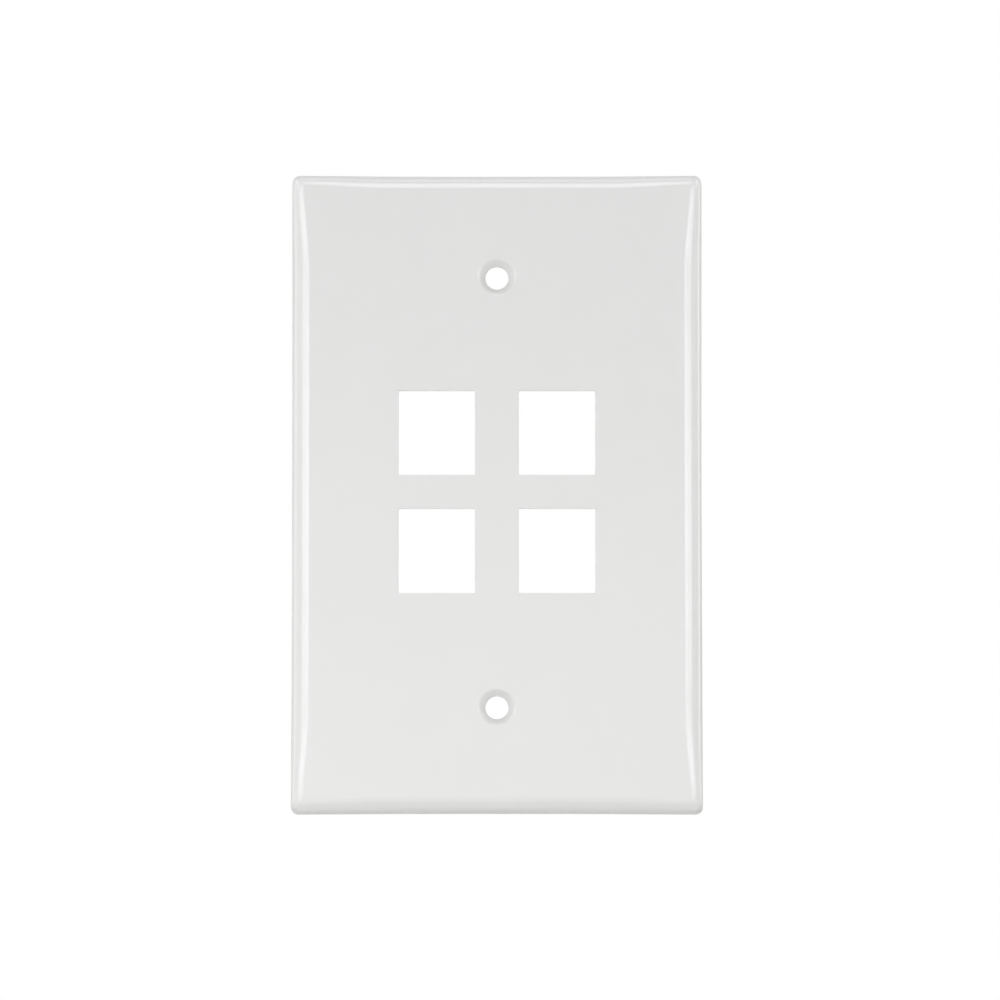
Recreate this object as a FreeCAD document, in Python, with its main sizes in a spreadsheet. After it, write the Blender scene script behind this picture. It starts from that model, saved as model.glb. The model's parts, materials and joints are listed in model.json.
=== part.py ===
"""Keystone faceplate: a one-piece moulded wall plate with four keystone ports.

The plate stands upright, as it hangs on a wall. X is its width, +Z is up and the
front faces -Y. The back rim lies in the plane Y = 0, and the origin is its centre.
All sizes are in millimetres and degrees.
"""
import FreeCAD, Part

import math
import os

import Sketcher
from FreeCAD import Placement, Rotation, Vector

DRIVING_SIZES = [
    # The plate and its rounded front edge.
    ("plate_width", 79.375),
    ("plate_height", 123.825),
    ("plate_depth", 6.4),
    ("edge_round", 3.2),
    ("side_draft", 2.0),
    ("corner_round", 1.5),
    # The hollow behind the face.
    ("face_thickness", 2.4),
    ("rim_wall", 1.8),
    ("hollow_round", 1.5),
    # The two countersunk screw holes, and the hollow bosses behind them.
    ("screw_spacing", 83.34),
    ("screw_hole", 4.45),
    ("countersink_width", 7.05),
    ("countersink_angle", 82.0),
    ("boss_width", 9.0),
    ("boss_bore", 6.2),
    ("boss_clearance", 0.4),
    # The four ports: an opening, and the socket behind it that holds a jack.
    ("port_width", 14.8),
    ("port_height", 16.4),
    ("column_web", 8.5),
    ("row_wall", 1.7),
    ("socket_wall", 1.5),
    ("socket_depth", 9.9),
    ("latch_room", 2.8),
    ("hook_room", 2.0),
    ("latch_gap", 1.8),
    ("hook_gap", 1.2),
    ("catch_thickness", 1.9),
    ("port_lead_in", 0.8),
    ("mouth_lead_in", 0.5),
    # The pair of stiffening ribs on the back.
    ("rib_spacing", 26.0),
    ("rib_thickness", 1.2),
    ("rib_height", 2.0),
]

# Places worked out from the driving sizes.
INNER_FACE = "Sizes.plate_depth - Sizes.face_thickness"
ROW_PITCH = "Sizes.port_height + Sizes.latch_room + Sizes.hook_room + Sizes.row_wall"
PORT_OUTER_SIDE = "Sizes.column_web / 2 + Sizes.port_width"
PORT_TOP = "Sizes.port_height + (Sizes.latch_room + Sizes.hook_room + Sizes.row_wall) / 2"

# Two places closer than this are the same place.
SAME_PLACE = 1e-4

doc = FreeCAD.newDocument("KeystoneFaceplate")

# ------------------------------------------------------------------ size sheet

sheet = doc.addObject("Spreadsheet::Sheet", "Sizes")
for row, (alias, value) in enumerate(DRIVING_SIZES, start=1):
    sheet.set("A%d" % row, alias)
    sheet.set("B%d" % row, str(value))
    sheet.setAlias("B%d" % row, alias)
doc.recompute()


def size(alias):
    """The number that the sheet holds under this alias."""
    return float(sheet.get(alias))


# ------------------------------------------------------------- drawing helpers

body = doc.addObject("PartDesign::Body", "Faceplate")
body.Label = "faceplate"


def origin_item(role):
    """One of the body's own origin planes or axes, such as XZ_Plane."""
    return next(item for item in body.Origin.OriginFeatures if item.Role == role)


def new_sketch(name, role, offset=None):
    """A sketch on an origin plane, or moved along the plane's normal."""
    sketch = body.newObject("Sketcher::SketchObject", name)
    sketch.AttachmentSupport = [(origin_item(role), "")]
    sketch.MapMode = "FlatFace"
    if offset:
        sketch.setExpression("AttachmentOffset.Base.z", offset)
    return sketch


def fix(sketch, kind, *places):
    """Add a constraint without a number."""
    sketch.addConstraint(Sketcher.Constraint(kind, *places))


def drive(sketch, name, expression, kind, *places_and_start):
    """Add a named dimension to a sketch and tie it to the size sheet."""
    index = sketch.addConstraint(Sketcher.Constraint(kind, *places_and_start))
    sketch.renameConstraint(index, name)
    sketch.setExpression("Constraints." + name, expression)


def add_rectangle(sketch, right, upper, width, height):
    """A rectangle placed by its upper right corner."""
    corners = [Vector(1, 1, 0), Vector(9, 1, 0), Vector(9, 9, 0), Vector(1, 9, 0)]
    bottom = sketch.GeometryCount
    top = bottom + 2
    for i in range(4):
        sketch.addGeometry(Part.LineSegment(corners[i], corners[(i + 1) % 4]), False)
    for i in range(4):
        fix(sketch, "Vertical" if i % 2 else "Horizontal", bottom + i)
        fix(sketch, "Coincident", bottom + i, 2, bottom + (i + 1) % 4, 1)
    drive(sketch, "width", width, "DistanceX", bottom, 1, bottom, 2, 8.0)
    drive(sketch, "height", height, "DistanceY", bottom, 1, top, 2, 8.0)
    drive(sketch, "right", right, "DistanceX", -1, 1, top, 1, 9.0)
    drive(sketch, "upper", upper, "DistanceY", -1, 1, top, 1, 9.0)


def add_screw_circles(sketch, name, diameter):
    """Two circles of one diameter about the screw centres."""
    for side in (-1, 1):
        start = Part.Circle(Vector(0, side * 9, 0), Vector(0, 0, 1), 2)
        circle = sketch.addGeometry(start, False)
        fix(sketch, "PointOnObject", circle, 3, -2)
        ends = (-1, 1, circle, 3) if side > 0 else (circle, 3, -1, 1)
        label = name + ("_upper" if side > 0 else "_lower")
        drive(sketch, label, diameter, "Diameter", circle, 4.0)
        drive(sketch, label + "_place", "Sizes.screw_spacing / 2", "DistanceY", *ends, 9.0)


def add_feature(kind, name, sketch, **expressions):
    """A pad, pocket or hole of a sketch, with its sizes tied to the size sheet."""
    feature = body.newObject("PartDesign::" + kind, name)
    feature.Profile = sketch
    for key, expression in expressions.items():
        feature.setExpression(key, expression)
    return feature


def dress_edges(kind, name, base, wanted, amount_key, expression):
    """A fillet or chamfer on those edges of a feature whose box passes a test."""
    doc.recompute()
    edges = enumerate(base.Shape.Edges, start=1)
    names = ["Edge%d" % number for number, edge in edges if wanted(edge.BoundBox)]
    feature = body.newObject("PartDesign::" + kind, name)
    feature.Base = (base, names)
    feature.setExpression(amount_key, expression)
    return feature


def near(first, second):
    """Whether two places are the same."""
    return abs(first - second) < SAME_PLACE


# ---------------------------------------------------- plate, with rounded edge


def add_section(sketch, span):
    """The plate's cross section: rim, drafted sides, rounded edges and flat face.

    The rim lies on the sketch's horizontal axis, and the face is below it.
    """
    depth = size("plate_depth")
    radius = size("edge_round")
    draft = math.radians(size("side_draft"))
    half = size(span) / 2
    arc_x = half - (radius + (depth - radius) * math.sin(draft)) / math.cos(draft)
    arc_y = radius - depth
    shoulder_x = arc_x + radius * math.cos(draft)
    shoulder_y = arc_y - radius * math.sin(draft)
    normal = Vector(0, 0, 1)
    right_circle = Part.Circle(Vector(arc_x, arc_y, 0), normal, radius)
    left_circle = Part.Circle(Vector(-arc_x, arc_y, 0), normal, radius)
    outline = [
        Part.LineSegment(Vector(-half, 0, 0), Vector(half, 0, 0)),
        Part.LineSegment(Vector(half, 0, 0), Vector(shoulder_x, shoulder_y, 0)),
        Part.ArcOfCircle(right_circle, 1.5 * math.pi, 2 * math.pi - draft),
        Part.LineSegment(Vector(arc_x, -depth, 0), Vector(-arc_x, -depth, 0)),
        Part.ArcOfCircle(left_circle, math.pi + draft, 1.5 * math.pi),
        Part.LineSegment(Vector(-shoulder_x, shoulder_y, 0), Vector(-half, 0, 0)),
    ]
    rim, right_side, right_arc, face, left_arc, left_side = range(len(outline))
    for piece in outline:
        sketch.addGeometry(piece, False)
    fix(sketch, "Coincident", rim, 2, right_side, 1)
    fix(sketch, "Tangent", right_side, 2, right_arc, 2)
    fix(sketch, "Tangent", right_arc, 1, face, 1)
    fix(sketch, "Tangent", face, 2, left_arc, 2)
    fix(sketch, "Tangent", left_arc, 1, left_side, 1)
    fix(sketch, "Coincident", left_side, 2, rim, 1)
    fix(sketch, "Horizontal", rim)
    fix(sketch, "Horizontal", face)
    fix(sketch, "Symmetric", rim, 1, rim, 2, -1, 1)
    fix(sketch, "Equal", right_arc, left_arc)
    fix(sketch, "Equal", right_side, left_side)
    drive(sketch, "span", "Sizes." + span, "DistanceX", rim, 1, rim, 2, 2 * half)
    drive(sketch, "depth", "Sizes.plate_depth", "DistanceY", face, 1, -1, 1, depth)
    drive(sketch, "round", "Sizes.edge_round", "Radius", right_arc, radius)
    upright = math.pi / 2 - draft
    drive(sketch, "draft", "90 deg - Sizes.side_draft * 1 deg", "Angle", rim, 2, right_side, 1, upright)


across = new_sketch("SectionAcross", "XY_Plane")
add_section(across, "plate_width")
slab = add_feature("Pad", "Slab", across, Length="Sizes.plate_height")
slab.SideType = "Symmetric"

# The same section, turned to run up the plate, trims the slab's two ends.
upright = new_sketch("SectionUpright", "YZ_Plane")
upright.AttachmentOffset = Placement(Vector(0, 0, 0), Rotation(Vector(0, 0, 1), -90))
add_section(upright, "plate_height")
add_rectangle(
    upright,
    right="Sizes.plate_height / 2 + Sizes.plate_depth",
    upper="Sizes.plate_depth",
    width="Sizes.plate_height + 2 * Sizes.plate_depth",
    height="3 * Sizes.plate_depth",
)
ends = add_feature("Pocket", "TrimmedEnds", upright, Length="2 * Sizes.plate_width")
ends.SideType = "Symmetric"


def is_corner_edge(box):
    """An edge where a long side meets a short one, below the flat face."""
    return min(box.XLength, box.YLength, box.ZLength) > SAME_PLACE


plate = dress_edges("Fillet", "RoundedCorners", ends, is_corner_edge, "Radius", "Sizes.corner_round")

# -------------------------------------------------------- hollow behind the face

cavity_floor = size("face_thickness") - size("plate_depth")

hollow_outline = new_sketch("HollowOutline", "XZ_Plane", INNER_FACE)
add_rectangle(
    hollow_outline,
    right="Sizes.plate_width / 2 - Sizes.rim_wall",
    upper="Sizes.plate_height / 2 - Sizes.rim_wall",
    width="Sizes.plate_width - 2 * Sizes.rim_wall",
    height="Sizes.plate_height - 2 * Sizes.rim_wall",
)
hollow = add_feature("Pocket", "Hollow", hollow_outline, Length=INNER_FACE)


def is_hollow_edge(box):
    """An edge round the hollow's floor, or up one of its inside corners."""
    on_floor = near(box.YMax, cavity_floor) and near(box.YMin, cavity_floor)
    side = size("plate_width") / 2 - size("rim_wall")
    up_a_corner = near(max(abs(box.XMin), abs(box.XMax)), side) and box.XLength < SAME_PLACE
    return on_floor or (up_a_corner and near(box.YLength, -cavity_floor))


tray = dress_edges("Fillet", "RoundedHollow", hollow, is_hollow_edge, "Radius", "Sizes.hollow_round")

# ------------------------------------------------- ribs and screw bosses inside

rib_outline = new_sketch("RibOutline", "XZ_Plane", INNER_FACE)
add_rectangle(
    rib_outline,
    right="(Sizes.rib_spacing + Sizes.rib_thickness) / 2",
    upper="(Sizes.plate_height - Sizes.rim_wall) / 2",
    width="Sizes.rib_thickness",
    height="Sizes.plate_height - Sizes.rim_wall",
)
rib = add_feature("Pad", "RightRib", rib_outline, Length="Sizes.rib_height")
rib.Reversed = True
ribs = body.newObject("PartDesign::Mirrored", "BothRibs")
ribs.Originals = [rib]
ribs.MirrorPlane = (origin_item("YZ_Plane"), [""])
body.Tip = ribs

boss_outline = new_sketch("BossOutline", "XZ_Plane", INNER_FACE)
add_screw_circles(boss_outline, "boss", "Sizes.boss_width")
add_screw_circles(boss_outline, "bore", "Sizes.boss_bore")
bosses = add_feature("Pad", "Bosses", boss_outline, Length=INNER_FACE + " - Sizes.boss_clearance")
bosses.Reversed = True

# ----------------------------------------------------------- keystone sockets

# The upper right socket is drawn, and the pattern below makes the other three.
block_outline = new_sketch("SocketOutline", "XZ_Plane", INNER_FACE)
add_rectangle(
    block_outline,
    right=PORT_OUTER_SIDE + " + Sizes.socket_wall",
    upper=PORT_TOP + " + Sizes.latch_room + Sizes.row_wall",
    width="Sizes.port_width + 2 * Sizes.socket_wall",
    height=ROW_PITCH + " + Sizes.row_wall",
)
block = add_feature("Pad", "SocketBlock", block_outline, Length="Sizes.socket_depth - Sizes.face_thickness")
block.Reversed = True

port_outline = new_sketch("PortOutline", "XZ_Plane", "Sizes.plate_depth")
add_rectangle(
    port_outline,
    right=PORT_OUTER_SIDE,
    upper=PORT_TOP,
    width="Sizes.port_width",
    height="Sizes.port_height",
)
port = add_feature("Pocket", "Port", port_outline)
port.Type = "ThroughAll"

# Room above and below the port for the jack's latch and its fixed hook.
jack_outline = new_sketch("JackRoomOutline", "XZ_Plane", INNER_FACE)
add_rectangle(
    jack_outline,
    right=PORT_OUTER_SIDE,
    upper=PORT_TOP + " + Sizes.latch_room",
    width="Sizes.port_width",
    height="Sizes.port_height + Sizes.latch_room + Sizes.hook_room",
)
jack_room_depth = "Sizes.socket_depth - Sizes.face_thickness - Sizes.catch_thickness"
jack_room = add_feature("Pocket", "JackRoom", jack_outline, Length=jack_room_depth)

# The mouth at the back is lower than that room, which leaves the two catches.
mouth_outline = new_sketch("MouthOutline", "XZ_Plane", INNER_FACE)
add_rectangle(
    mouth_outline,
    right=PORT_OUTER_SIDE,
    upper=PORT_TOP + " + Sizes.latch_gap",
    width="Sizes.port_width",
    height="Sizes.port_height + Sizes.latch_gap + Sizes.hook_gap",
)
mouth = add_feature("Pocket", "RearMouth", mouth_outline)
mouth.Type = "ThroughAll"

sockets = body.newObject("PartDesign::MultiTransform", "FourSockets")
sockets.Originals = [block, port, jack_room, mouth]
columns = body.newObject("PartDesign::Mirrored", "BothColumns")
columns.MirrorPlane = (origin_item("YZ_Plane"), [""])
rows = body.newObject("PartDesign::LinearPattern", "BothRows")
rows.Direction = (origin_item("Z_Axis"), [""])
rows.Reversed = True
rows.Occurrences = 2
rows.setExpression("Length", ROW_PITCH)
sockets.Transformations = [columns, rows]
body.Tip = sockets


def is_port_back_edge(box):
    """The upper or lower edge of a port, where it opens into the jack's room."""
    level = near(box.YMin, cavity_floor) and near(box.YMax, cavity_floor) and near(box.ZMin, box.ZMax)
    half_gap = (size("latch_room") + size("hook_room") + size("row_wall")) / 2
    height = abs(box.ZMax)
    at_port = near(height, half_gap) or near(height, half_gap + size("port_height"))
    return level and at_port and near(box.XLength, size("port_width"))


def is_mouth_edge(box):
    """The upper or lower edge of a socket's mouth, at the very back."""
    back = size("socket_depth") - size("plate_depth")
    return near(box.YMin, back) and near(box.YMax, back) and near(box.XLength, size("port_width"))


eased_ports = dress_edges("Chamfer", "PortLeadIn", sockets, is_port_back_edge, "Size", "Sizes.port_lead_in")
eased = dress_edges("Chamfer", "MouthLeadIn", eased_ports, is_mouth_edge, "Size", "Sizes.mouth_lead_in")

# ---------------------------------------------------- countersunk screw holes

screw_places = new_sketch("ScrewPlaces", "XZ_Plane", "Sizes.plate_depth")
add_screw_circles(screw_places, "screw", "Sizes.screw_hole")
doc.recompute()
holes = add_feature("Hole", "ScrewHoles", screw_places, Diameter="Sizes.screw_hole")
holes.DepthType = "ThroughAll"
holes.HoleCutType = "Countersink"
holes.HoleCutCustomValues = True
holes.setExpression("HoleCutDiameter", "Sizes.countersink_width")
holes.setExpression("HoleCutCountersinkAngle", "Sizes.countersink_angle")
body.Tip = holes
doc.recompute()

# ------------------------------------------------------------ check and export


def check_document():
    """Stop if a feature failed, if a cut took nothing away, or if the solid is broken."""
    for item in doc.Objects:
        if "Invalid" in item.State or "Error" in item.State:
            raise RuntimeError("%s failed: %s" % (item.Label, item.State))
        if item.TypeId in ("PartDesign::Pocket", "PartDesign::Hole"):
            if item.Shape.Volume >= item.BaseFeature.Shape.Volume:
                raise RuntimeError("%s takes nothing away" % item.Label)
    if body.Shape.isNull() or not body.Shape.isValid():
        raise RuntimeError("%s has no valid shape" % body.Label)
    if len(body.Shape.Solids) != 1:
        raise RuntimeError("%s is not one solid" % body.Label)


check_document()
os.makedirs("parts", exist_ok=True)
body.Shape.exportStep("parts/%s.step" % body.Label)
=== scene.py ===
import json
import math

import bpy
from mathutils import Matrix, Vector


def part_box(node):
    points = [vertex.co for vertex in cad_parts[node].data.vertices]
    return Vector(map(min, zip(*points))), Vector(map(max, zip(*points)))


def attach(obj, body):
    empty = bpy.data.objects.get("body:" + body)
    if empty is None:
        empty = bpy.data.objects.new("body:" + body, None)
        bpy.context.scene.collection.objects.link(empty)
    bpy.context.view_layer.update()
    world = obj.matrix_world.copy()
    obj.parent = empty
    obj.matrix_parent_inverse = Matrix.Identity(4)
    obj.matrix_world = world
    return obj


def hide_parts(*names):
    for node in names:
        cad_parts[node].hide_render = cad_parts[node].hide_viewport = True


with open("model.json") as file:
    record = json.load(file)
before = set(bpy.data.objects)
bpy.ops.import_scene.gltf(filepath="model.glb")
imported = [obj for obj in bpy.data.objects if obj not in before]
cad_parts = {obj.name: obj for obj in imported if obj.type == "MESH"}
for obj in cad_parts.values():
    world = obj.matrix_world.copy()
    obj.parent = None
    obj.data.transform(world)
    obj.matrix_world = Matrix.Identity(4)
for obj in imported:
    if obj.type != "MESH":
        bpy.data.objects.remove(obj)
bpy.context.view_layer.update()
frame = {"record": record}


# ---------------------------------------------------------------- the moulding
# The whole object is one injection moulding in white plastic, made in a mould that is polished
# in front, satin round the sides and plain behind, where it shapes the sockets, the bosses and
# the ribs. It hangs on a wall box by two screws.

MM = 0.001
low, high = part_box("faceplate")
half_width = high.x
half_height = high.z
depth = -low.y
socket_back = high.y
mounts = {mount["name"]: mount for mount in frame["record"]["mounts"]}
screw_height = mounts["box_screws"]["dims"]["spacing_y_mm"] / 2 * MM
port_centres = [mount["pos_m"] for name, mount in mounts.items() if name.startswith("keystone")]


def start_editing():
    """Edit the active object's mesh with nothing selected."""
    bpy.ops.object.mode_set(mode="EDIT")
    bpy.ops.mesh.select_all(action="DESELECT")


def pick_edges(piece, wanted):
    """Select the edges whose two ends pass a test, and leave edit mode in edge selection."""
    bpy.ops.mesh.select_mode(type="EDGE")
    bpy.ops.object.mode_set(mode="OBJECT")
    points = piece.data.vertices
    for edge in piece.data.edges:
        edge.select = wanted(*(points[i].co for i in edge.vertices))
    bpy.ops.object.mode_set(mode="EDIT")


def finish_editing(piece):
    """Leave edit mode with the place in the mesh and the faces pointing outwards."""
    bpy.ops.mesh.select_all(action="SELECT")
    bpy.ops.mesh.normals_make_consistent(inside=False)
    bpy.ops.object.mode_set(mode="OBJECT")
    bpy.ops.object.transform_apply(location=True, rotation=True, scale=True)
    return piece


def add_block(name, x, y, z):
    """A plain block between two places on each axis, as a start for a solid or a cutter."""
    bpy.ops.object.select_all(action="DESELECT")
    middle = [(a + b) / 2 for a, b in (x, y, z)]
    bpy.ops.mesh.primitive_cube_add(size=1, location=middle)
    block = bpy.context.object
    block.name = name
    block.scale = [b - a for a, b in (x, y, z)]
    bpy.ops.object.transform_apply(location=True, rotation=True, scale=True)
    return block


def add_round(name, x, z, y, radii):
    """A round bar or cone along Y from the first place to the second, as a start."""
    bpy.ops.object.select_all(action="DESELECT")
    bpy.ops.mesh.primitive_cone_add(
        vertices=96, radius1=radii[0], radius2=radii[1], depth=y[1] - y[0],
        location=(x, (y[0] + y[1]) / 2, z), rotation=(-math.pi / 2, 0, 0))
    bar = bpy.context.object
    bar.name = name
    bpy.ops.object.transform_apply(location=True, rotation=True, scale=True)
    return bar


def combine(piece, other, operation):
    """Join another solid to the piece, or cut it away, and drop the other solid."""
    bpy.ops.object.select_all(action="DESELECT")
    bpy.context.view_layer.objects.active = piece
    piece.select_set(True)
    boolean = piece.modifiers.new("shape", "BOOLEAN")
    boolean.operation = operation
    boolean.solver = "EXACT"
    boolean.object = other
    bpy.ops.object.modifier_apply(modifier="shape")
    bpy.data.objects.remove(other)


# The plate's outline at the wall: a rectangle with rounded corners, closely divided.
corner_round, corner_steps = 1.5 * MM, 10
side_cuts, end_cuts = 78, 50
bpy.ops.object.select_all(action="DESELECT")
bpy.ops.mesh.primitive_plane_add(size=2, rotation=(math.pi / 2, 0, 0))
plate = bpy.context.object
plate.name = "moulding"
plate.scale = (half_width, half_height, 1)
bpy.ops.object.transform_apply(location=True, rotation=True, scale=True)
start_editing()
bpy.ops.mesh.select_all(action="SELECT")
bpy.ops.mesh.delete(type="ONLY_FACE")
bpy.ops.mesh.select_all(action="SELECT")
bpy.ops.mesh.bevel(offset=corner_round, segments=corner_steps, affect="VERTICES")
pick_edges(plate, lambda a, b: abs(a.z - b.z) > half_height)
bpy.ops.mesh.subdivide(number_cuts=side_cuts)
pick_edges(plate, lambda a, b: abs(a.x - b.x) > half_width)
bpy.ops.mesh.subdivide(number_cuts=end_cuts)
bpy.ops.object.mode_set(mode="OBJECT")

# The outline is drawn straight forward in steps, one for each line along the rounded edge,
# and closed at both ends. The screw modifier, not turning, gives the same mesh every time.
edge_steps = 18
drawn_length = -depth * (edge_steps + 1)
drawn = plate.modifiers.new("drawn forward", "SCREW")
drawn.axis = "Y"
drawn.angle = 0
drawn.screw_offset = drawn_length
drawn.steps = drawn.render_steps = edge_steps + 1
bpy.ops.object.modifier_apply(modifier="drawn forward")
start_editing()
for end in (0, drawn_length):
    pick_edges(plate, lambda a, b: max(abs(a.y - end), abs(b.y - end)) < MM)
    bpy.ops.mesh.edge_face_add()
finish_editing(plate)

# Each line is then let down to its place: drafted sides, drawn in a little along their
# middles as the plastic cooled, and an edge that is rounded more there than beside the
# corners, where two edges meet in a soft mitre.
draft = math.radians(2)
drawn_in = 0.16 * MM
side_round, end_round, tight_round = 3.5 * MM, 2.9 * MM, 2.3 * MM
mitre_round = 0.12 * MM
ease_from, ease_to = 2 * MM, 18 * MM


def edge_profile(tilt, radius):
    """How far in and how far forward the edge is where its surface has this tilt."""
    start = radius + (depth - radius) * math.sin(draft)
    centre = start / math.cos(draft)
    return centre - radius * math.sin(tilt), depth - radius + radius * math.cos(tilt)


def draw_in(x, y, z):
    """Pull a point on the rim in towards the middle of the plate, most at mid-side."""
    side_pull = drawn_in / half_width * (1 - (z / half_height) ** 2)
    end_pull = drawn_in / half_height * (1 - (x / half_width) ** 2)
    return Vector((x * (1 - side_pull), y, z * (1 - end_pull)))


def let_down(point):
    """The finished place of a point on the stepped block."""
    step = round(-point.y / depth)
    if step == 0:
        return draw_in(point.x, 0, point.z)
    tilt = (math.pi / 2 - draft) * (1 - (step - 1) / edge_steps)
    from_side, from_end = half_width - abs(point.x), half_height - abs(point.z)
    along = max(from_side, from_end)
    # The edge grows from its tight rounding by the corners to its full one further along.
    amount = min(max((along - ease_from) / (ease_to - ease_from), 0), 1)
    amount = amount * amount * (3 - 2 * amount)
    full_round = side_round if from_side < from_end else end_round
    inward, forward = edge_profile(tilt, tight_round + (full_round - tight_round) * amount)
    corner_in, corner_forward = edge_profile(tilt, tight_round)
    corner = max(corner_round * math.sin(tilt), mitre_round)
    if along < corner_round * 1.001:
        # On the rounded corner itself, each line of the edge turns round its own centre.
        turn = math.atan2(corner_round - from_end, corner_round - from_side)
        centre = corner_in + corner
        from_side = centre - corner * math.cos(turn)
        from_end = centre - corner * math.sin(turn)
        forward = corner_forward
    else:
        # Beside the corner, the points close up to where that turn ends.
        reach = corner_in + corner
        moved = ease_to + reach
        if along < moved:
            along = reach + (along - corner_round) * (moved - reach) / (moved - corner_round)
        from_side, from_end = (inward, along) if from_side < from_end else (along, inward)
    x = math.copysign(half_width - from_side, point.x)
    z = math.copysign(half_height - from_end, point.z)
    return draw_in(x, -forward, z)


for vertex in plate.data.vertices:
    vertex.co = let_down(vertex.co)

# The hollow behind the face, with rounded inside corners. Every cutter runs past the surface
# that it opens.
face_wall, rim_wall = 2.4 * MM, 1.8 * MM
hollow_round, hollow_steps = 1.5 * MM, 10
past = 1 * MM
inner_face = -depth + face_wall
hollow_x, hollow_z = half_width - rim_wall, half_height - rim_wall
hollow = add_block("hollow", (-hollow_x, hollow_x), (inner_face, 2 * past), (-hollow_z, hollow_z))
start_editing()
pick_edges(hollow, lambda a, b: abs(a.y - b.y) > MM or max(a.y, b.y) < 0)
bpy.ops.mesh.bevel(offset=hollow_round, segments=hollow_steps, affect="EDGES")
finish_editing(hollow)
combine(plate, hollow, "DIFFERENCE")

# Two ribs up the back, and a boss behind each screw hole, all sunk a little into what they
# stand on.
bury = 0.6 * MM
rib_out, half_rib, rib_rise = 13 * MM, 0.6 * MM, 2 * MM
boss_radius, bore_radius, boss_end = 4.5 * MM, 3.1 * MM, -0.4 * MM
for x in (-rib_out, rib_out):
    rib = add_block("rib", (x - half_rib, x + half_rib), (inner_face - bury, inner_face + rib_rise),
                    (-hollow_z - bury, hollow_z + bury))
    combine(plate, rib, "UNION")
for z in (-screw_height, screw_height):
    boss = add_round("boss", 0, z, (inner_face - bury, boss_end), (boss_radius, boss_radius))
    combine(plate, boss, "UNION")
    bore = add_round("bore", 0, z, (inner_face, past), (bore_radius, bore_radius))
    combine(plate, bore, "DIFFERENCE")

lead_reach = 1.5 * MM


def add_lead_in(name, x, front, z):
    """A cutter that opens at 45 degrees above and below, backwards from this depth."""
    back = front + lead_reach
    cutter = add_block(name, x, (front, back), z)
    start_editing()
    bpy.ops.mesh.select_mode(type="FACE")
    bpy.ops.object.mode_set(mode="OBJECT")
    for face in cutter.data.polygons:
        face.select = face.normal.y > 0.5
    bpy.ops.object.mode_set(mode="EDIT")
    opened = 1 + 2 * lead_reach / (z[1] - z[0])
    middle = (sum(x) / 2, back, sum(z) / 2)
    bpy.ops.transform.resize(value=(1, 1, opened), center_override=middle)
    return finish_editing(cutter)


# Two blocks with two sockets each, then in each socket the port, the room for the jack, with
# space above for its latch and below for its hook, and the mouth.
half_port_width, half_port_height = 7.4 * MM, 8.2 * MM
room_top, room_bottom, room_back = 11.0 * MM, 10.2 * MM, 1.6 * MM
mouth_top, mouth_bottom = 10 * MM, 9.4 * MM
port_lead_length, mouth_lead_length = 0.8 * MM, 0.5 * MM
socket_sides = (2.75 * MM, 20.55 * MM)
socket_ends = (-23.35 * MM, 24.15 * MM)
for side in (-1, 1):
    across = sorted(side * x for x in socket_sides)
    block = add_block("sockets", across, (inner_face - bury, socket_back), socket_ends)
    combine(plate, block, "UNION")
for x, _, z in port_centres:
    across = (x - half_port_width, x + half_port_width)
    port_ends = (z - half_port_height, z + half_port_height)
    mouth_ends = (z - mouth_bottom, z + mouth_top)
    port = add_block("port", across, (-depth - past, 0), port_ends)
    room = add_block("room", across, (inner_face, room_back), (z - room_bottom, z + room_top))
    mouth = add_block("mouth", across, (0, socket_back + past), mouth_ends)
    port_lead = add_lead_in("port lead-in", across, inner_face - port_lead_length, port_ends)
    mouth_lead = add_lead_in("mouth lead-in", across, socket_back - mouth_lead_length, mouth_ends)
    for cutter in (port, room, mouth, port_lead, mouth_lead):
        combine(plate, cutter, "DIFFERENCE")

# Screw holes, each with the countersink that takes an oval head, and a soft lip round it.
hole_radius = mounts["box_screws"]["dims"]["hole_r_mm"] * MM
sink_radius, sink_slope = 3.525 * MM, math.tan(math.radians(41))
lip_out, lip_in, lip_depth, lip_slope = 0.3 * MM, 0.12 * MM, 0.14 * MM, 3
sink_depth = (sink_radius - hole_radius) / sink_slope
over = 0.5 * MM
for z in (-screw_height, screw_height):
    hole = add_round("hole", 0, z, (-depth - past, 0), (hole_radius, hole_radius))
    combine(plate, hole, "DIFFERENCE")
    sink = add_round("sink", 0, z, (-depth - over, -depth + sink_depth),
                     (sink_radius + over * sink_slope, hole_radius))
    combine(plate, sink, "DIFFERENCE")
    lip = add_round("lip", 0, z, (-depth - over, -depth + lip_depth),
                    (sink_radius + lip_out + lip_slope * over, sink_radius - lip_in))
    combine(plate, lip, "DIFFERENCE")

# The seams that the cuts left in flat places go, and every edge is eased, because no moulded
# edge is quite sharp.
bpy.ops.object.select_all(action="DESELECT")
plate.select_set(True)
bpy.context.view_layer.objects.active = plate
start_editing()
bpy.ops.mesh.select_all(action="SELECT")
bpy.ops.mesh.remove_doubles(threshold=1e-6)
bpy.ops.mesh.dissolve_limited(angle_limit=math.radians(0.2), delimit={"NORMAL"})
finish_editing(plate)
ease = plate.modifiers.new("eased edges", "BEVEL")
ease.width = 0.08 * MM
ease.segments = 3
ease.limit_method = "ANGLE"
ease.angle_limit = math.radians(28)
ease.use_clamp_overlap = False
ease.miter_outer = "MITER_ARC"
bpy.ops.object.modifier_apply(modifier="eased edges")
bpy.ops.object.shade_smooth_by_angle(angle=math.radians(35))
weighted = plate.modifiers.new("shading", "WEIGHTED_NORMAL")
weighted.keep_sharp = True
weighted.weight = 100
bpy.ops.object.modifier_apply(modifier="shading")


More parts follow.
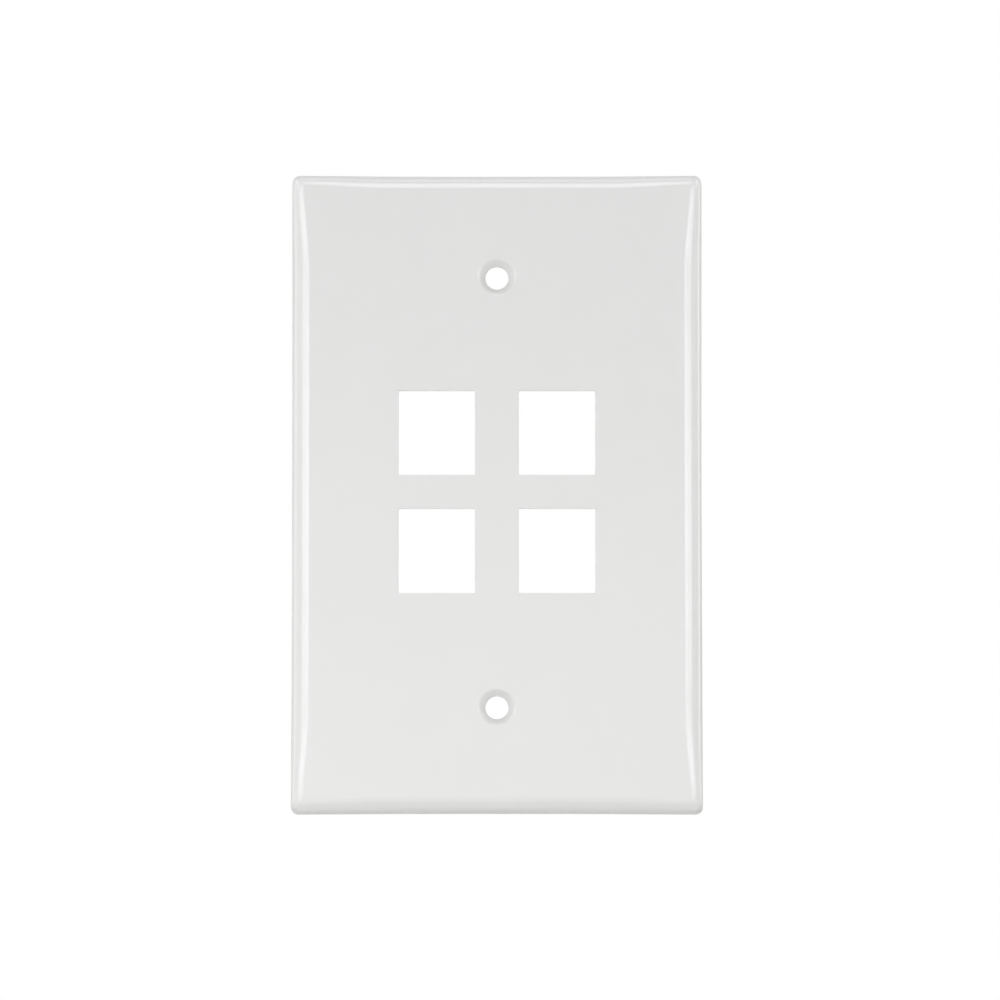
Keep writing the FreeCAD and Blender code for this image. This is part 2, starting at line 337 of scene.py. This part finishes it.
# White plastic: very faint cloudiness in the colour and the gloss, and a fine grain.
plastic = bpy.data.node_groups.new("moulded plastic", "ShaderNodeTree")
for name, way, kind in (
    ("Pale", "INPUT", "NodeSocketColor"),
    ("Deep", "INPUT", "NodeSocketColor"),
    ("Smoothest", "INPUT", "NodeSocketFloat"),
    ("Roughest", "INPUT", "NodeSocketFloat"),
    ("Fineness", "INPUT", "NodeSocketFloat"),
    ("Color", "OUTPUT", "NodeSocketColor"),
    ("Roughness", "OUTPUT", "NodeSocketFloat"),
    ("Ripple", "OUTPUT", "NodeSocketFloat"),
):
    plastic.interface.new_socket(name=name, in_out=way, socket_type=kind)
nodes, links = plastic.nodes, plastic.links
inputs = nodes.new("NodeGroupInput")
outputs = nodes.new("NodeGroupOutput")
place = nodes.new("ShaderNodeTexCoord")
clouds = nodes.new("ShaderNodeTexNoise")
clouds.inputs["Scale"].default_value = 28
clouds.inputs["Detail"].default_value = 3
links.new(place.outputs["Object"], clouds.inputs["Vector"])
tint = nodes.new("ShaderNodeMix")
tint.data_type = "RGBA"
links.new(clouds.outputs["Fac"], tint.inputs["Factor"])
links.new(inputs.outputs["Pale"], tint.inputs["A"])
links.new(inputs.outputs["Deep"], tint.inputs["B"])
links.new(tint.outputs["Result"], outputs.inputs["Color"])
patches = nodes.new("ShaderNodeTexNoise")
patches.inputs["Scale"].default_value = 160
patches.inputs["Detail"].default_value = 4
links.new(place.outputs["Object"], patches.inputs["Vector"])
gloss = nodes.new("ShaderNodeMapRange")
gloss.inputs["From Min"].default_value = 0.3
gloss.inputs["From Max"].default_value = 0.7
links.new(patches.outputs["Fac"], gloss.inputs["Value"])
links.new(inputs.outputs["Smoothest"], gloss.inputs["To Min"])
links.new(inputs.outputs["Roughest"], gloss.inputs["To Max"])
links.new(gloss.outputs["Result"], outputs.inputs["Roughness"])
ripple = nodes.new("ShaderNodeTexNoise")
ripple.inputs["Detail"].default_value = 2
links.new(place.outputs["Object"], ripple.inputs["Vector"])
links.new(inputs.outputs["Fineness"], ripple.inputs["Scale"])
links.new(ripple.outputs["Fac"], outputs.inputs["Ripple"])


def add_plastic(name, pale, deep, smoothest, roughest, shine, grain, height):
    """A finish of the one plastic, with a grain of this size and height in its surface."""
    material = bpy.data.materials.new(name)
    material.use_nodes = True
    nodes, links = material.node_tree.nodes, material.node_tree.links
    shader = nodes["Principled BSDF"]
    shader.inputs["IOR"].default_value = 1.5
    shader.inputs["Specular IOR Level"].default_value = shine
    body = nodes.new("ShaderNodeGroup")
    body.node_tree = plastic
    body.inputs["Pale"].default_value = (*pale, 1)
    body.inputs["Deep"].default_value = (*deep, 1)
    body.inputs["Smoothest"].default_value = smoothest
    body.inputs["Roughest"].default_value = roughest
    body.inputs["Fineness"].default_value = 1 / grain
    links.new(body.outputs["Color"], shader.inputs["Base Color"])
    links.new(body.outputs["Roughness"], shader.inputs["Roughness"])
    bump = nodes.new("ShaderNodeBump")
    bump.inputs["Strength"].default_value = 1
    bump.inputs["Distance"].default_value = height
    links.new(body.outputs["Ripple"], bump.inputs["Height"])
    links.new(bump.outputs["Normal"], shader.inputs["Normal"])
    return material


polished = add_plastic("polished_white_plastic", (0.812, 0.811, 0.805), (0.796, 0.795, 0.789),
                       smoothest=0.11, roughest=0.17, shine=0.5, grain=4 * MM, height=0.001 * MM)
satin = add_plastic("satin_white_plastic", (0.80, 0.80, 0.792), (0.78, 0.78, 0.772),
                    smoothest=0.62, roughest=0.78, shine=0.1, grain=0.3 * MM, height=0.004 * MM)
plain = add_plastic("plain_white_plastic", (0.80, 0.80, 0.792), (0.775, 0.775, 0.767),
                    smoothest=0.36, roughest=0.5, shine=0.5, grain=0.35 * MM, height=0.006 * MM)
finishes = [polished, satin, plain]
plate.data.materials.clear()
for finish in finishes:
    plate.data.materials.append(finish)

# The back and all that faces the wall are plain, the steep outer sides satin, and the front,
# the ports and the screw holes polished.
near, near_wall = 0.05 * MM, 0.2 * MM
satin_tilt = math.radians(68)
for face in plate.data.polygons:
    middle, facing = face.center, face.normal
    over_hollow = abs(middle.x) < hollow_x + near and abs(middle.z) < hollow_z + near
    in_hollow = over_hollow and middle.y > inner_face - near
    on_wall = middle.y > -near_wall and facing.y > 0.9
    if in_hollow or on_wall:
        face.material_index = finishes.index(plain)
    elif not over_hollow and facing.y > -math.cos(satin_tilt):
        face.material_index = finishes.index(satin)

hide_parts("faceplate")
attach(plate, "root")


# ----------------------------------------------------------------------- floor
# A plain pale studio floor, well below the plate, which hangs clear of it. Far out it fades
# into the white of the room, and it doesn't show from underneath.

floor_height, floor_radius = -0.45, 4
bpy.ops.object.select_all(action="DESELECT")
bpy.ops.mesh.primitive_circle_add(vertices=96, radius=floor_radius, fill_type="NGON",
                                  location=(0, 0, floor_height))
floor = bpy.context.object
floor.name = "floor"
bpy.ops.object.transform_apply(location=True, rotation=True, scale=True)
pale_floor = bpy.data.materials.new("pale_floor")
pale_floor.use_nodes = True
nodes, links = pale_floor.node_tree.nodes, pale_floor.node_tree.links
floor_shader = nodes["Principled BSDF"]
floor_shader.inputs["Base Color"].default_value = (0.805, 0.8, 0.79, 1)
floor_shader.inputs["Roughness"].default_value = 0.8
place = nodes.new("ShaderNodeTexCoord")
outward = nodes.new("ShaderNodeVectorMath")
outward.operation = "DISTANCE"
outward.inputs[1].default_value = (0, 0, floor_height)
links.new(place.outputs["Object"], outward.inputs[0])
fade = nodes.new("ShaderNodeMapRange")
fade.interpolation_type = "SMOOTHSTEP"
fade.inputs["From Min"].default_value = 1.2
fade.inputs["From Max"].default_value = 3.4
links.new(outward.outputs["Value"], fade.inputs["Value"])
side = nodes.new("ShaderNodeNewGeometry")
gone = nodes.new("ShaderNodeMath")
gone.operation = "MAXIMUM"
links.new(fade.outputs["Result"], gone.inputs[0])
links.new(side.outputs["Backfacing"], gone.inputs[1])
clear = nodes.new("ShaderNodeBsdfTransparent")
mix = nodes.new("ShaderNodeMixShader")
links.new(gone.outputs["Value"], mix.inputs["Fac"])
links.new(floor_shader.outputs["BSDF"], mix.inputs[1])
links.new(clear.outputs["BSDF"], mix.inputs[2])
links.new(mix.outputs["Shader"], nodes["Material Output"].inputs["Surface"])
floor.data.materials.append(pale_floor)


# --------------------------------------------------------------- light and room
# Long soft boxes stand either side of the camera and level with the plate's edges, with two
# above and one just over the lens. Others light the sides, the underside and the back, and the
# white room fills in all round.

# Looked at or mirrored the room is white, and as light on the plate it is much dimmer.
room = bpy.data.worlds.new("room")
bpy.context.scene.world = room
room.use_nodes = True
nodes, links = room.node_tree.nodes, room.node_tree.links
path = nodes.new("ShaderNodeLightPath")
seen = nodes.new("ShaderNodeMath")
seen.operation = "MAXIMUM"
links.new(path.outputs["Is Camera Ray"], seen.inputs[0])
links.new(path.outputs["Is Glossy Ray"], seen.inputs[1])
shown = nodes.new("ShaderNodeMath")
shown.operation = "MAXIMUM"
links.new(seen.outputs["Value"], shown.inputs[0])
links.new(path.outputs["Is Transmission Ray"], shown.inputs[1])
white = nodes.new("ShaderNodeMix")
white.data_type = "RGBA"
white.inputs["A"].default_value = (0.181, 0.18, 0.178, 1)
white.inputs["B"].default_value = (1, 1, 1, 1)
links.new(shown.outputs["Value"], white.inputs["Factor"])
links.new(white.outputs["Result"], nodes["Background"].inputs["Color"])

cool, warm = (0.955, 0.975, 1), (1, 0.993, 0.98)


def add_softbox(name, turn, rise, distance, width, height, brightness, tint):
    """A rectangular soft box aimed at the plate, so many degrees round from the camera and up."""
    turn, rise = math.radians(turn), math.radians(rise)
    away = Vector((math.sin(turn) * math.cos(rise), -math.cos(turn) * math.cos(rise), math.sin(rise)))
    lamp = bpy.data.lights.new(name, "AREA")
    lamp.shape = "RECTANGLE"
    lamp.size, lamp.size_y = width, height
    lamp.energy = brightness * math.pi * width * height
    lamp.color = tint
    box = bpy.data.objects.new(name, lamp)
    box.location = away * distance
    box.rotation_euler = away.to_track_quat("Z", "Y").to_euler()
    box.visible_camera = False
    bpy.context.scene.collection.objects.link(box)
    return box


# Each has its turn and rise in degrees, its distance, width and height in metres, and its
# brightness, where the white room is 1.
add_softbox("left_softbox", -16.75, 6.6, 2, 0.72, 0.22, 5.4, cool)
add_softbox("right_softbox", 16.75, 6.6, 2, 0.72, 0.22, 5.4, cool)
add_softbox("left_wing_softbox", -39.5, 6.6, 2, 0.88, 0.22, 4.2, cool)
add_softbox("right_wing_softbox", 39.5, 6.6, 2, 0.88, 0.22, 4.2, cool)
add_softbox("left_edge_softbox", -108.5, 6.6, 2, 0.6, 0.3, 1.45, cool)
add_softbox("right_edge_softbox", 113.5, 6.6, 2, 0.6, 0.3, 1.9, cool)
add_softbox("top_softbox", 0, 40, 2, 0.2, 1.22, 4.0, cool)
add_softbox("over_softbox", 0, 88, 2, 0.3, 0.5, 2.0, cool)
add_softbox("lens_softbox", -1.15, 2.5, 2, 0.32, 0.275, 1.0, warm)
add_softbox("low_softbox", -20, -30, 0.4, 0.5, 0.22, 1.02, warm)
add_softbox("left_high_softbox", -75, 30, 1.2, 0.8, 0.8, 2.9, warm)
add_softbox("right_high_softbox", 75, 30, 1.2, 0.8, 0.8, 2.8, warm)
for name, turn in (("left_back_softbox", -165), ("right_back_softbox", 165)):
    add_softbox(name, turn, 8, 1.5, 1.2, 1.2, 1.6, warm).visible_glossy = False


# ---------------------------------------------------------------------- camera
# A long lens 2 m in front of the plate, a little below it and looking up at it, without a shift.
# The plate stands upright in the middle of the frame.

camera_rise, camera_distance = math.radians(6.6), 2
camera_data = bpy.data.cameras.new("camera")
camera_data.lens = 372.6
camera_data.sensor_width = 36
camera = bpy.data.objects.new("camera", camera_data)
aim = Vector((0.00059, 0, -0.0009))
camera.location = aim - camera_distance * Vector((0, math.cos(camera_rise), math.sin(camera_rise)))
camera.rotation_euler = (math.pi / 2 + camera_rise, 0, 0)
bpy.context.scene.collection.objects.link(camera)
bpy.context.scene.camera = camera
bpy.context.scene.view_settings.view_transform = "Standard"
